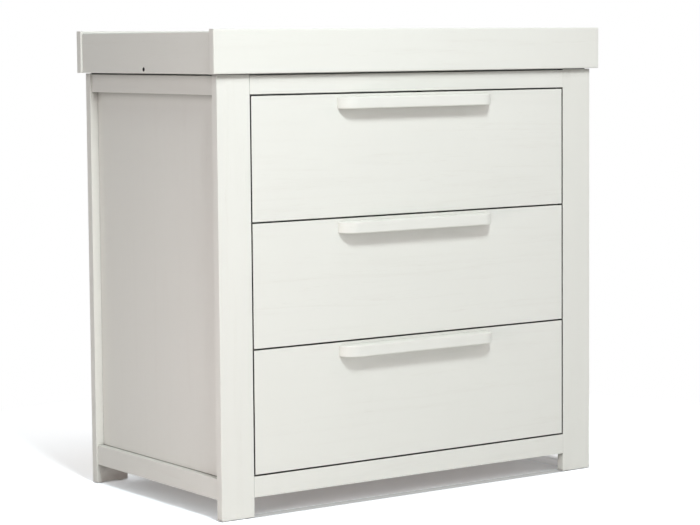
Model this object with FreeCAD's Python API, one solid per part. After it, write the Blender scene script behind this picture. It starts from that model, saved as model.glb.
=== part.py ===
import FreeCAD, Part
import math
import os

from FreeCAD import Vector

# A changing dresser: a post-and-rail case with three drawers on ball runners, and a shallow
# changer tray that drops over the top. Millimetres. X runs left to right seen from the front,
# Y from the front to the back, Z up. The origin is on the floor, under the middle of the
# overall box, whose front is the handles and whose back is the changer's back board.

# ---------------------------------------------------------------- driving dimensions
BODY_W = 915.0             # over the posts, left to right
BODY_D = 504.4             # over the posts, front to back
POST_TOP = 843.0           # top ends of the posts
POST_W = 73.0              # posts and front rails are 18 mm boards, seen on their faces
BOARD_T = 18.0
HANDLE_PROJECTION = 30.0   # from the drawer front to the front of its handle
CHANGER_BACK_OVERHANG = 12.4
CHANGER_FRONT_OVERHANG = 13.6
CHANGER_END_OVERHANG = 13.6

BOTTOM_RAIL = (39.0, 79.5)      # lowest and highest Z of the rails
TOP_RAIL = (805.5, 841.5)
SIDE_RAIL_SETBACK = 3.75        # side rails stand back from the posts' outer edges
SIDE_PANEL_SETBACK = 17.0
SIDE_PANEL_T = 15.0
TONGUE = 6.0                    # thickness and depth of the side panel's tongue
SHADOW_GAP = 1.0                # line left between the side panel and the bottom rail
BACK_PANEL_T = 3.0
BACK_PANEL_LAP = 10.0           # hardboard's lap on the rear posts and rails

DRAWERS = (1, 2, 3)             # from the top down
DRAWER_FRONT_H = 238.0
GAP = 3.0                       # line round each drawer front
BOX_SIDE_T = 12.0
BOX_H = 170.0
BOX_D = 415.0
BOX_LIFT = 25.0                 # drawer box above the lower edge of its front
BOX_BOTTOM_T = 4.0
BOX_BOTTOM_LIFT = 10.0
BOX_GROOVE = 5.0                # depth of the groove that holds the drawer bottom

HANDLE_L = 370.0
HANDLE_H = 22.0
HANDLE_DROP = 6.0               # handle's top below the drawer front's top edge
HANDLE_EASE = 2.5
FINGER_GROOVE = (280.0, 16.0, 10.0)   # length, width and depth, in the handle's underside
FINGER_LIP = 6.0                # wood left in front of the finger groove
HANDLE_SCREW_SPACING = 192.0

RUNNER_W = 13.0                 # ball runner, from batten to drawer side
RUNNER_H = 45.0
RUNNER_L = 400.0
TRAVEL = 300.0                  # drawers pull out this far; their ball cages go half as far
RUNNER_STEEL = 1.2
RUNNER_FRONT_GAP = 2.0          # runner's front end behind the drawer front
RUNNER_LIFT = 50.0              # runner's middle above the drawer box's lower edge
CAGE_L = 100.0
CAGE_STEEL = 0.8
BALL_R = 2.2
BALLS_PER_ROW = 5
BATTEN_H = 60.0

TOP_PANEL_T = 18.0
CHANGER_BOTTOM = 844.5
CHANGER_END_TOP = 924.3         # the end boards are a little lower than the front and back
CHANGER_TOP = 928.5
CHANGER_END_INSET = 3.5         # end boards stand back from the front board's ends
CHANGER_BASE_T = 9.0            # rebated all round to a tongue
CHANGER_PLAY = 1.1              # between the changer's boards and the top panel's edge
REST_GAP = 0.3                  # changer base above the top panel

GLIDE_R = 7.0
GLIDE_T = 2.0
EASE = 1.0                      # rounding of the sanded edges of posts, rails and fronts
CHANGER_EASE = 3.0
FIT = 0.05                      # a hole's radius beyond what it holds
PAST = 1.0                      # a cut starts or ends this far outside the wood

# ---------------------------------------------------------------- places worked out from them
X, Y, Z = Vector(1, 0, 0), Vector(0, 1, 0), Vector(0, 0, 1)
SIDES = {"left": -1, "right": 1}

OVERALL_D = HANDLE_PROJECTION + BODY_D + CHANGER_BACK_OVERHANG
FRONT_Y = HANDLE_PROJECTION - OVERALL_D / 2
BACK_Y = FRONT_Y + BODY_D
INNER_FRONT_Y = FRONT_Y + BOARD_T       # back of the front posts and drawer fronts
INNER_BACK_Y = BACK_Y - BOARD_T
OUTER_X = BODY_W / 2
OPENING_X = OUTER_X - POST_W            # half the drawer opening
SIDE_RAIL_X = OUTER_X - SIDE_RAIL_SETBACK
SIDE_PANEL_X = OUTER_X - SIDE_PANEL_SETBACK
SIDE_INNER_X = SIDE_PANEL_X - SIDE_PANEL_T

BOX_X = OPENING_X - RUNNER_W
BOX_BACK_Y = INNER_FRONT_Y + BOX_D
RUNNER_Y = INNER_FRONT_Y + RUNNER_FRONT_GAP
CAGE_Y = RUNNER_Y + TRAVEL / 2
HANDLE_FRONT_Y = FRONT_Y - HANDLE_PROJECTION

CHANGER_X = OUTER_X + CHANGER_END_OVERHANG
CHANGER_FRONT_Y = FRONT_Y - CHANGER_FRONT_OVERHANG
CHANGER_BACK_Y = BACK_Y + CHANGER_BACK_OVERHANG
CHANGER_END_X = CHANGER_X - CHANGER_END_INSET
TOP_PANEL_TOP = POST_TOP + TOP_PANEL_T
CHANGER_BASE_Z = TOP_PANEL_TOP + REST_GAP


def drawer_z(number):
    """The lower edge of a drawer's front."""
    return BOTTOM_RAIL[1] + GAP + (len(DRAWERS) - number) * (DRAWER_FRONT_H + GAP)


def runner_z(number):
    """The middle height of a drawer's runners and battens."""
    return drawer_z(number) + BOX_LIFT + RUNNER_LIFT


# ---------------------------------------------------------------- ways of making a piece
def board(x_range, y_range, z_range, ease=0.0, along=""):
    """A square board; its edges that run along the named axes are rounded by ease."""
    low = Vector(min(x_range), min(y_range), min(z_range))
    high = Vector(max(x_range), max(y_range), max(z_range))
    size = high - low
    solid = Part.makeBox(size.x, size.y, size.z, low)
    if not along:
        return solid
    axes = [{"x": X, "y": Y, "z": Z}[name] for name in along]
    edges = [edge for edge in solid.Edges if runs_along(edge, axes)]
    return solid.makeFillet(ease, edges)


def runs_along(edge, axes):
    """True where a straight edge is parallel to one of the axes."""
    way = edge.Vertexes[1].Point - edge.Vertexes[0].Point
    return any(abs(way.dot(axis)) > 0.999 * way.Length for axis in axes)


def whole(shape):
    """The one solid that a cut or a joining leaves."""
    solids = shape.Solids
    assert len(solids) == 1, "a piece fell apart or vanished"
    return solids[0]


def drill(solid, holes):
    """The solid with every hole near it cut out."""
    near = [hole for hole in holes if hole.BoundBox.intersect(solid.BoundBox)]
    if not near:
        return solid
    return whole(solid.cut(near))


def dowel(middle, axis, radius, length, fit=0.0):
    """A round pin centred on middle; fit makes the hole for it."""
    long = length + 2 * fit
    return Part.makeCylinder(radius + fit, long, middle - axis * (long / 2), axis)


def screw(head, axis, length, fit=0.0, shank_r=1.75, head_r=3.5):
    """A countersunk screw, driven along axis from the surface point head; fit makes its hole."""
    sink = head_r - shank_r
    cone = Part.makeCone(head_r + fit, shank_r + fit, sink, head, axis)
    shank = Part.makeCylinder(shank_r + fit, length - sink + fit, head + axis * sink, axis)
    return whole(cone.fuse(shank))


def tack(head, axis, length, head_r, head_t, shank_r, fit=0.0):
    """A flat-headed nail whose head stands on the surface point head."""
    shank = Part.makeCylinder(shank_r + fit, length + fit, head, axis)
    if fit:
        return shank
    cap = Part.makeCylinder(head_r, head_t, head - axis * head_t, axis)
    return whole(cap.fuse(shank))


# ---------------------------------------------------------------- what holds the case together
FRAME_DOWEL = (4.0, 50.0)        # radius and length, rail end to post edge
THIN_DOWEL = (4.0, 40.0)         # into the back of a post: 12 mm in the post, 28 mm in the rail
THIN_DOWEL_SHIFT = 8.0
DOWEL_STAGGER = 8.0              # above and below the middle of a rail
BATTEN_T = BOARD_T
BATTEN_X = OPENING_X + BATTEN_T / 2


def edge_dowel_places():
    """Between the front and rear rails' ends and the posts' inner edges."""
    return [Vector(side * OPENING_X, y, sum(rail) / 2 + shift)
            for side in SIDES.values()
            for y in (FRONT_Y + BOARD_T / 2, BACK_Y - BOARD_T / 2)
            for rail in (BOTTOM_RAIL, TOP_RAIL)
            for shift in (-DOWEL_STAGGER, DOWEL_STAGGER)]


def face_dowel_places():
    """Between the inner faces of the posts and the ends of the side rails and battens."""
    ends = (INNER_FRONT_Y + THIN_DOWEL_SHIFT, INNER_BACK_Y - THIN_DOWEL_SHIFT)
    rail_x = (SIDE_RAIL_X + SIDE_INNER_X) / 2
    heights = [(rail_x, sum(rail) / 2) for rail in (BOTTOM_RAIL, TOP_RAIL)]
    heights += [(BATTEN_X, runner_z(number)) for number in DRAWERS]
    return [Vector(side * x, y, z + shift)
            for side in SIDES.values()
            for y in ends
            for x, z in heights
            for shift in (-DOWEL_STAGGER, DOWEL_STAGGER)]


def frame_dowels(fit=0.0):
    """Every beech dowel of the case."""
    across = [dowel(place, X, *FRAME_DOWEL, fit) for place in edge_dowel_places()]
    inward = [dowel(place, Y, *THIN_DOWEL, fit) for place in face_dowel_places()]
    return across + inward


BRACKET_Y = (-150.0, 170.0)
BRACKET_W = 30.0
BRACKET_LEG = 22.0
BRACKET_T = 2.0
BRACKET_SCREW_L = 14.0
BRACKET_SCREW_SHIFT = 3.0        # from the middle of a leg, away from the bend


def bracket(side, y):
    """A pressed angle that ties a side rail to the top panel."""
    inner = SIDE_INNER_X - BRACKET_T
    width = (y - BRACKET_W / 2, y + BRACKET_W / 2)
    upright = board((side * inner, side * SIDE_INNER_X), width, (POST_TOP - BRACKET_LEG, POST_TOP))
    flat = board((side * (SIDE_INNER_X - BRACKET_LEG), side * SIDE_INNER_X), width,
                 (POST_TOP - BRACKET_T, POST_TOP))
    return drill(whole(upright.fuse(flat).removeSplitter()), bracket_screws(FIT))


def bracket_screws(fit=0.0):
    """One screw into the side rail and one up into the top panel at each angle."""
    screws = []
    for side in SIDES.values():
        for y in BRACKET_Y:
            from_bend = BRACKET_LEG / 2 + BRACKET_SCREW_SHIFT
            at_rail = Vector(side * (SIDE_INNER_X - BRACKET_T), y, POST_TOP - from_bend)
            at_top = Vector(side * (SIDE_INNER_X - from_bend), y, POST_TOP - BRACKET_T)
            screws.append(screw(at_rail, X * side, BRACKET_SCREW_L, fit))
            screws.append(screw(at_top, Z, BRACKET_SCREW_L, fit))
    return screws


TACK = {"length": 10.0, "head_r": 2.5, "head_t": 0.6, "shank_r": 0.7}
TACKS_UP = 7
TACKS_ACROSS = 7
TACK_EDGE = 5.0                  # tacks stand this far inside the hardboard's edge


def spread(low, high, count):
    """Evenly spaced values from low to high."""
    return [low + (high - low) * step / (count - 1) for step in range(count)]


def back_panel_tacks(fit=0.0):
    """Tacks round the hardboard back."""
    reach_x = OPENING_X + BACK_PANEL_LAP - TACK_EDGE
    low_z = BOTTOM_RAIL[1] - BACK_PANEL_LAP + TACK_EDGE
    high_z = TOP_RAIL[0] + BACK_PANEL_LAP - TACK_EDGE
    places = [(side * reach_x, z) for side in SIDES.values() for z in spread(low_z, high_z, TACKS_UP)]
    places += [(x, z) for z in (low_z, high_z)
               for x in spread(-reach_x, reach_x, TACKS_ACROSS)[1:-1]]
    face = BACK_Y + BACK_PANEL_T
    return [tack(Vector(x, face, z), Y * -1, fit=fit, **TACK) for x, z in places]


GLIDE_NAIL = {"length": 10.0, "head_r": GLIDE_R, "head_t": GLIDE_T, "shank_r": 1.0}
GLIDE_SPREAD = 22.0              # two glides under each post, this far from its middle


def foot_glides(fit=0.0):
    """Nailed plastic glides, two under each post."""
    post_x = OUTER_X - POST_W / 2
    return [tack(Vector(side * (post_x + shift), y, GLIDE_T), Z, fit=fit, **GLIDE_NAIL)
            for side in SIDES.values()
            for y in (FRONT_Y + BOARD_T / 2, BACK_Y - BOARD_T / 2)
            for shift in (-GLIDE_SPREAD, GLIDE_SPREAD)]


# ---------------------------------------------------------------- runners
RUNNER_SCREWS_AT = (30.0, 200.0, 370.0)     # from the runner's front end
RUNNER_SCREW_L = 10.0
CAGE_WEB_AT = 2.2                           # distances from the batten's face
CAGE_FLANGE_TO = 9.0
CABINET_FLANGE_TO = 9.5
DRAWER_FLANGE_FROM = 4.0
BALL_GAP = 4.5                              # between the two members' flanges
BALL_AT = 6.6


def channel(side, web, flanges, half_height, steel, y_range, z):
    """A folded steel channel; web and flanges are distances in from the batten's face."""
    def across(near, far):
        return side * (OPENING_X - near), side * (OPENING_X - far)

    piece = board(across(*web), y_range, (z - half_height, z + half_height))
    for up in (-1, 1):
        heights = (z + up * (half_height - steel), z + up * half_height)
        piece = piece.fuse(board(across(*flanges), y_range, heights))
    return whole(piece.removeSplitter())


def cabinet_member(side, z):
    """The runner's outer channel, screwed to the batten."""
    return channel(side, (0, RUNNER_STEEL), (0, CABINET_FLANGE_TO), RUNNER_H / 2, RUNNER_STEEL,
                   (RUNNER_Y, RUNNER_Y + RUNNER_L), z)


def drawer_member(side, z):
    """The runner's inner channel, screwed to the drawer side."""
    half_height = RUNNER_H / 2 - RUNNER_STEEL - BALL_GAP
    return channel(side, (RUNNER_W - RUNNER_STEEL, RUNNER_W), (DRAWER_FLANGE_FROM, RUNNER_W),
                   half_height, RUNNER_STEEL, (RUNNER_Y, RUNNER_Y + RUNNER_L), z)


def ball_cage(side, z):
    """The cage between the channels, with its two rows of balls."""
    row_z = RUNNER_H / 2 - RUNNER_STEEL - BALL_GAP / 2
    cage = channel(side, (CAGE_WEB_AT, CAGE_WEB_AT + CAGE_STEEL), (CAGE_WEB_AT, CAGE_FLANGE_TO),
                   row_z + CAGE_STEEL / 2, CAGE_STEEL, (CAGE_Y, CAGE_Y + CAGE_L), z)
    step = CAGE_L / BALLS_PER_ROW
    places = [Vector(side * (OPENING_X - BALL_AT), CAGE_Y + step * (count + 0.5), z + up * row_z)
              for up in (-1, 1) for count in range(BALLS_PER_ROW)]
    seats = [Part.makeSphere(BALL_R + FIT, place) for place in places]
    balls = [Part.makeSphere(BALL_R, place) for place in places]
    return [drill(cage, seats)] + balls


def runner_screws(number, member, fit=0.0):
    """The screws of one drawer's two cabinet members, or of its two drawer members."""
    screws = []
    for side in SIDES.values():
        for along in RUNNER_SCREWS_AT:
            if member == "cabinet":
                head, way = OPENING_X - RUNNER_STEEL, X * side
            else:
                head, way = BOX_X + RUNNER_STEEL, X * -side
            place = Vector(side * head, RUNNER_Y + along, runner_z(number))
            screws.append(screw(place, way, RUNNER_SCREW_L, fit, shank_r=1.6, head_r=2.8))
    return screws


# ---------------------------------------------------------------- the case
def posts():
    """Four flat posts; the feet are their lower ends."""
    ways = {"front": (FRONT_Y, INNER_FRONT_Y), "rear": (INNER_BACK_Y, BACK_Y)}
    pieces = {}
    for place, y_range in ways.items():
        for name, side in SIDES.items():
            pieces[f"{place}_post_{name}"] = board(
                (side * OPENING_X, side * OUTER_X), y_range, (GLIDE_T, POST_TOP), EASE, "z")
    return pieces


def cross_rails():
    """The front and rear rails, between the posts."""
    ways = {"front": (FRONT_Y, INNER_FRONT_Y), "rear": (INNER_BACK_Y, BACK_Y)}
    heights = {"top": TOP_RAIL, "bottom": BOTTOM_RAIL}
    return {f"{place}_{level}_rail": board((-OPENING_X, OPENING_X), y_range, z_range, EASE, "x")
            for place, y_range in ways.items() for level, z_range in heights.items()}


def side_rails():
    """The end frames' rails, flush inside with the side panels."""
    heights = {"top": TOP_RAIL, "bottom": BOTTOM_RAIL}
    return {f"side_{level}_rail_{name}": board(
                (side * SIDE_INNER_X, side * SIDE_RAIL_X), (INNER_FRONT_Y, INNER_BACK_Y), z_range,
                EASE, "y")
            for level, z_range in heights.items() for name, side in SIDES.items()}


def tongue_box(side):
    """The space of a side panel's tongue, which is also the groove it sits in."""
    middle = (SIDE_PANEL_X + SIDE_INNER_X) / 2
    return board((side * (middle - TONGUE / 2), side * (middle + TONGUE / 2)),
                 (INNER_FRONT_Y - TONGUE, INNER_BACK_Y + TONGUE),
                 (BOTTOM_RAIL[1] - TONGUE, TOP_RAIL[0] + TONGUE))


def side_panel(side):
    """The plain end panel, tongued into the posts and rails."""
    face = board((side * SIDE_INNER_X, side * SIDE_PANEL_X),
                 (INNER_FRONT_Y + SHADOW_GAP / 2, INNER_BACK_Y - SHADOW_GAP / 2),
                 (BOTTOM_RAIL[1] + SHADOW_GAP, TOP_RAIL[0] - SHADOW_GAP / 2))
    return whole(face.fuse(tongue_box(side)).removeSplitter())


def case_pieces():
    """The boards of the case, with their grooves and holes."""
    boards = {**posts(), **cross_rails(), **side_rails()}
    for name, side in SIDES.items():
        groove = tongue_box(side)
        for piece in [key for key in boards if key.endswith(name)]:
            boards[piece] = whole(boards[piece].cut(groove))
    holes = frame_dowels(FIT) + bracket_screws(FIT) + back_panel_tacks(FIT) + foot_glides(FIT)
    boards = {key: drill(solid, holes) for key, solid in boards.items()}
    for name, side in SIDES.items():
        boards[f"side_panel_{name}"] = side_panel(side)
        boards[f"runner_battens_{name}"] = runner_battens(side)
    boards["back_panel"] = back_panel()
    boards["top_panel"] = top_panel()
    return boards


def runner_battens(side):
    """Three battens behind the posts, which bring the runners to the drawer opening's edge."""
    holes = frame_dowels(FIT)
    battens = []
    for number in DRAWERS:
        middle = runner_z(number)
        batten = board((side * OPENING_X, side * (OPENING_X + BATTEN_T)),
                       (INNER_FRONT_Y, INNER_BACK_Y),
                       (middle - BATTEN_H / 2, middle + BATTEN_H / 2), EASE, "y")
        battens.append(drill(batten, holes + runner_screws(number, "cabinet", FIT)))
    return battens


def back_panel():
    """Hardboard, tacked over the rear opening."""
    reach = OPENING_X + BACK_PANEL_LAP
    panel = board((-reach, reach), (BACK_Y, BACK_Y + BACK_PANEL_T),
                  (BOTTOM_RAIL[1] - BACK_PANEL_LAP, TOP_RAIL[0] + BACK_PANEL_LAP))
    return drill(panel, back_panel_tacks(FIT))


def top_panel():
    """The dresser's own top, inside the changer's skirt, with a slot for each locating screw."""
    reach = CHANGER_END_X - BOARD_T - CHANGER_PLAY
    panel = board((-reach, reach),
                  (CHANGER_FRONT_Y + BOARD_T + CHANGER_PLAY, CHANGER_BACK_Y - BOARD_T - CHANGER_PLAY),
                  (POST_TOP, TOP_PANEL_TOP))
    holes = bracket_screws(FIT) + [locating_slot(side, reach) for side in SIDES.values()]
    return drill(panel, holes)


# ---------------------------------------------------------------- drawers
HANDLE_SCREW_R = 2.0
HANDLE_SCREW_HEAD = (4.0, 2.5)     # radius and thickness of the pan head inside the drawer
HANDLE_SCREW_BITE = 14.0
HANDLE_SCREW_LIFT = 15.5           # above the handle's underside
BOX_DOWEL = (3.0, 30.0)            # side to front: 12 mm in the front, 18 mm in the side
BOX_DOWEL_SHIFT = 3.0
BOX_DOWELS_AT = (35.0, 135.0)      # above the box's lower edge
BOX_SCREW_L = 35.0
BOX_SCREWS_AT = (40.0, 130.0)


def handle_z(number):
    """The underside of a drawer's handle."""
    return drawer_z(number) + DRAWER_FRONT_H - HANDLE_DROP - HANDLE_H


def handle_screws(number, fit=0.0):
    """Pan-head screws from inside the drawer, through the front into the handle."""
    screws = []
    head_r, head_t = HANDLE_SCREW_HEAD
    for side in SIDES.values():
        seat = Vector(side * HANDLE_SCREW_SPACING / 2, INNER_FRONT_Y,
                      handle_z(number) + HANDLE_SCREW_LIFT)
        long = BOARD_T + HANDLE_SCREW_BITE
        screws.append(tack(seat, Y * -1, long, head_r, head_t, HANDLE_SCREW_R, fit))
    return screws


def box_dowels(number, fit=0.0):
    """Small dowels between the drawer sides and the front."""
    low = drawer_z(number) + BOX_LIFT
    return [dowel(Vector(side * (BOX_X - BOX_SIDE_T / 2), INNER_FRONT_Y + BOX_DOWEL_SHIFT, low + lift),
                  Y, *BOX_DOWEL, fit)
            for side in SIDES.values() for lift in BOX_DOWELS_AT]


def box_screws(number, fit=0.0):
    """Screws through the drawer sides into the ends of the back."""
    low = drawer_z(number) + BOX_LIFT
    return [screw(Vector(side * BOX_X, BOX_BACK_Y - BOX_SIDE_T / 2, low + lift), X * -side,
                  BOX_SCREW_L, fit)
            for side in SIDES.values() for lift in BOX_SCREWS_AT]


def drawer_fixings(number, fit=0.0):
    """All the small pieces of one drawer."""
    return (handle_screws(number, fit) + box_dowels(number, fit) + box_screws(number, fit)
            + runner_screws(number, "drawer", fit))


def drawer_bottom(number):
    """The thin bottom, let into grooves all round; it is also the shape of those grooves."""
    inner_x = BOX_X - BOX_SIDE_T
    low = drawer_z(number) + BOX_LIFT + BOX_BOTTOM_LIFT
    return board((-inner_x - BOX_GROOVE, inner_x + BOX_GROOVE),
                 (INNER_FRONT_Y - BOX_GROOVE, BOX_BACK_Y - BOX_SIDE_T + BOX_GROOVE),
                 (low, low + BOX_BOTTOM_T))


def handle(number):
    """A wooden bar with quarter-round ends and a finger groove underneath."""
    low = handle_z(number)
    end = HANDLE_L / 2
    round_x = end - HANDLE_PROJECTION
    bow = HANDLE_PROJECTION * 0.5 ** 0.5      # half way round each quarter-round end
    corners = {side: (Vector(side * end, FRONT_Y, low), Vector(side * (round_x + bow), FRONT_Y - bow, low),
                      Vector(side * round_x, HANDLE_FRONT_Y, low)) for side in (-1, 1)}
    outline = Part.Wire([Part.Arc(*corners[-1]).toShape(),
                         Part.LineSegment(corners[-1][2], corners[1][2]).toShape(),
                         Part.Arc(*reversed(corners[1])).toShape(),
                         Part.LineSegment(corners[1][0], corners[-1][0]).toShape()])
    bar = Part.Face(outline).extrude(Z * HANDLE_H)
    front_edges = [edge for edge in bar.Edges
                   if edge.BoundBox.ZLength < 0.01 and edge.BoundBox.YMin < FRONT_Y - PAST]
    bar = bar.makeFillet(HANDLE_EASE, front_edges)
    bar = whole(bar.cut(finger_groove(low)))
    return drill(bar, handle_screws(number, FIT))


def finger_groove(low):
    """The routed groove that fingers hook into behind the handle's front."""
    length, width, depth = FINGER_GROOVE
    round_x = length / 2 - width / 2
    y_range = (HANDLE_FRONT_Y + FINGER_LIP, HANDLE_FRONT_Y + FINGER_LIP + width)
    groove = board((-round_x, round_x), y_range, (low - PAST, low + depth))
    for side in (-1, 1):
        centre = Vector(side * round_x, sum(y_range) / 2, low - PAST)
        groove = groove.fuse(Part.makeCylinder(width / 2, depth + PAST, centre))
    return groove.removeSplitter()


def drawer_pieces(number):
    """One drawer: its front, box and handle, drilled and grooved."""
    low = drawer_z(number)
    box_z = (low + BOX_LIFT, low + BOX_LIFT + BOX_H)
    inner_x = BOX_X - BOX_SIDE_T
    front_x = OPENING_X - GAP
    boards = {
        "front": board((-front_x, front_x), (FRONT_Y, INNER_FRONT_Y), (low, low + DRAWER_FRONT_H)),
        "back": board((-inner_x, inner_x), (BOX_BACK_Y - BOX_SIDE_T, BOX_BACK_Y), box_z, EASE, "x"),
    }
    face_edges = [edge for edge in boards["front"].Edges if edge.BoundBox.YMax < FRONT_Y + 0.1]
    boards["front"] = boards["front"].makeFillet(EASE, face_edges)
    for name, side in SIDES.items():
        boards[f"side_{name}"] = board((side * inner_x, side * BOX_X), (INNER_FRONT_Y, BOX_BACK_Y),
                                       box_z, EASE, "y")
    holes = drawer_fixings(number, FIT) + [drawer_bottom(number)]
    pieces = {f"drawer_{number}_{key}": drill(solid, holes) for key, solid in boards.items()}
    pieces[f"drawer_{number}_bottom"] = drawer_bottom(number)
    pieces[f"drawer_{number}_handle"] = handle(number)
    pieces[f"drawer_{number}_fixings"] = drawer_fixings(number)
    return pieces


def runner_pieces(number):
    """The pair of runners under one drawer."""
    z = runner_z(number)
    cabinet = [drill(cabinet_member(side, z), runner_screws(number, "cabinet", FIT))
               for side in SIDES.values()]
    drawer = [drill(drawer_member(side, z), runner_screws(number, "drawer", FIT))
              for side in SIDES.values()]
    cages = [solid for side in SIDES.values() for solid in ball_cage(side, z)]
    return {f"runner_{number}_cabinet_members": cabinet,
            f"runner_{number}_drawer_members": drawer,
            f"runner_{number}_ball_cages": cages}


# ---------------------------------------------------------------- the changer tray
CHANGER_DOWEL = (4.0, 40.0)
CHANGER_DOWELS_UP = (32.0, 64.0)   # above the boards' lower edges
LOCATING_LIFT = 8.0                # locating screw above the end board's lower edge
LOCATING_HEAD = (4.2, 3.0)         # radius and thickness
LOCATING_SINK = 6.0                # head below the board's face
LOCATING_SOCKET = (4.0, 2.0)       # hexagon socket: across its flats, and depth
LOCATING_SHANK_R = 2.5
LOCATING_REACH = 12.0              # past the board, into the top panel's slot
SLOT_PLAY = 0.4
BASE_CLEARANCE = 0.2               # between the raised field of the base and the boards


def locating_place(side):
    """Where a locating screw enters the outer face of an end board."""
    y = (CHANGER_FRONT_Y + CHANGER_BACK_Y) / 2
    return Vector(side * CHANGER_END_X, y, CHANGER_BOTTOM + LOCATING_LIFT)


def locating_screw(side, fit=0.0):
    """A sunk screw through an end board, whose end drops into the top panel's slot."""
    head_r, head_t = LOCATING_HEAD
    inward = X * -side
    place = locating_place(side)
    if fit:
        head = Part.makeCylinder(head_r + fit, LOCATING_SINK + head_t, place, inward)
    else:
        head = Part.makeCylinder(head_r, head_t, place + inward * LOCATING_SINK, inward)
    shank = Part.makeCylinder(LOCATING_SHANK_R + fit, BOARD_T + LOCATING_REACH - LOCATING_SINK,
                              place + inward * LOCATING_SINK, inward)
    screw_solid = whole(head.fuse(shank))
    return screw_solid if fit else socketed(screw_solid, place + inward * LOCATING_SINK, inward)


def socketed(screw_solid, place, inward):
    """The screw with the hexagon socket in its head."""
    across, depth = LOCATING_SOCKET
    corner = Y * (across / math.sqrt(3.0))
    corners = [place + FreeCAD.Rotation(X, 60.0 * step).multVec(corner) for step in range(6)]
    hexagon = Part.makePolygon(corners + corners[:1])
    socket = Part.Face(hexagon).extrude(inward * depth)
    return whole(screw_solid.cut(socket))


def locating_slot(side, edge_x):
    """The open-topped slot in the edge of the top panel."""
    half = LOCATING_SHANK_R + SLOT_PLAY
    place = locating_place(side)
    x_range = (side * (edge_x - LOCATING_REACH - PAST), side * (edge_x + PAST))
    slot = board(x_range, (place.y - half, place.y + half), (place.z, TOP_PANEL_TOP + PAST))
    floor = Part.makeCylinder(half, abs(x_range[1] - x_range[0]),
                              Vector(x_range[0], place.y, place.z), X * side)
    return slot.fuse(floor).removeSplitter()


def changer_dowels(fit=0.0):
    """Dowels between the end boards and the front and back boards."""
    x = CHANGER_END_X - BOARD_T / 2
    joints = (CHANGER_FRONT_Y + BOARD_T + THIN_DOWEL_SHIFT, CHANGER_BACK_Y - BOARD_T - THIN_DOWEL_SHIFT)
    return [dowel(Vector(side * x, y, CHANGER_BOTTOM + up), Y, *CHANGER_DOWEL, fit)
            for side in SIDES.values() for y in joints for up in CHANGER_DOWELS_UP]


def changer_base_layer(margin, top):
    """One layer of the base, reaching margin past the inner faces of the tray's boards."""
    reach = CHANGER_END_X - BOARD_T + margin
    return board((-reach, reach),
                 (CHANGER_FRONT_Y + BOARD_T - margin, CHANGER_BACK_Y - BOARD_T + margin),
                 (CHANGER_BASE_Z, CHANGER_BASE_Z + top))


def changer_base():
    """The tray's floor, rebated all round to a tongue in the boards' grooves."""
    tongue = changer_base_layer(TONGUE, TONGUE)
    field = changer_base_layer(-BASE_CLEARANCE, CHANGER_BASE_T)
    return whole(tongue.fuse(field).removeSplitter())


def changer_pieces():
    """The tray: front and back boards over the ends of the two end boards, and its base."""
    tall = (CHANGER_BOTTOM, CHANGER_TOP)
    low = (CHANGER_BOTTOM, CHANGER_END_TOP)
    full = (-CHANGER_X, CHANGER_X)
    between = (CHANGER_FRONT_Y + BOARD_T, CHANGER_BACK_Y - BOARD_T)
    boards = {
        "front": board(full, (CHANGER_FRONT_Y, between[0]), tall, CHANGER_EASE, "xz"),
        "back": board(full, (between[1], CHANGER_BACK_Y), tall, CHANGER_EASE, "xz"),
    }
    for name, side in SIDES.items():
        boards[name] = board((side * (CHANGER_END_X - BOARD_T), side * CHANGER_END_X), between, low,
                             CHANGER_EASE, "y")
    holes = changer_dowels(FIT) + [changer_base_layer(TONGUE, TONGUE)]
    holes += [locating_screw(side, FIT) for side in SIDES.values()]
    pieces = {f"changer_{key}_board": drill(solid, holes) for key, solid in boards.items()}
    pieces["changer_base"] = changer_base()
    pieces["changer_dowels"] = changer_dowels()
    pieces["changer_locating_screws"] = [locating_screw(side) for side in SIDES.values()]
    return pieces


# ---------------------------------------------------------------- all the nodes, written out
def all_nodes():
    """Every node's name, with its solid or group of like solids."""
    nodes = case_pieces()
    nodes["frame_dowels"] = frame_dowels()
    nodes["top_brackets"] = [bracket(side, y) for side in SIDES.values() for y in BRACKET_Y]
    nodes["case_screws"] = bracket_screws() + [piece for number in DRAWERS
                                               for piece in runner_screws(number, "cabinet")]
    nodes["back_panel_tacks"] = back_panel_tacks()
    nodes["foot_glides"] = foot_glides()
    for number in DRAWERS:
        nodes.update(drawer_pieces(number))
        nodes.update(runner_pieces(number))
    nodes.update(changer_pieces())
    return nodes


os.makedirs("parts", exist_ok=True)
for node_name, made in all_nodes().items():
    shape = Part.makeCompound(made) if isinstance(made, list) else made
    assert shape.isValid(), node_name
    shape.exportStep(os.path.join("parts", node_name + ".step"))
    box = shape.BoundBox
    print(f"{node_name}: {len(shape.Solids)} solids, {shape.Volume / 1000:.1f} cm3, "
          f"x {box.XMin:.1f}..{box.XMax:.1f} y {box.YMin:.1f}..{box.YMax:.1f} "
          f"z {box.ZMin:.1f}..{box.ZMax:.1f}")
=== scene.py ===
import math

import bmesh
import bpy
from mathutils import Matrix, Vector


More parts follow.
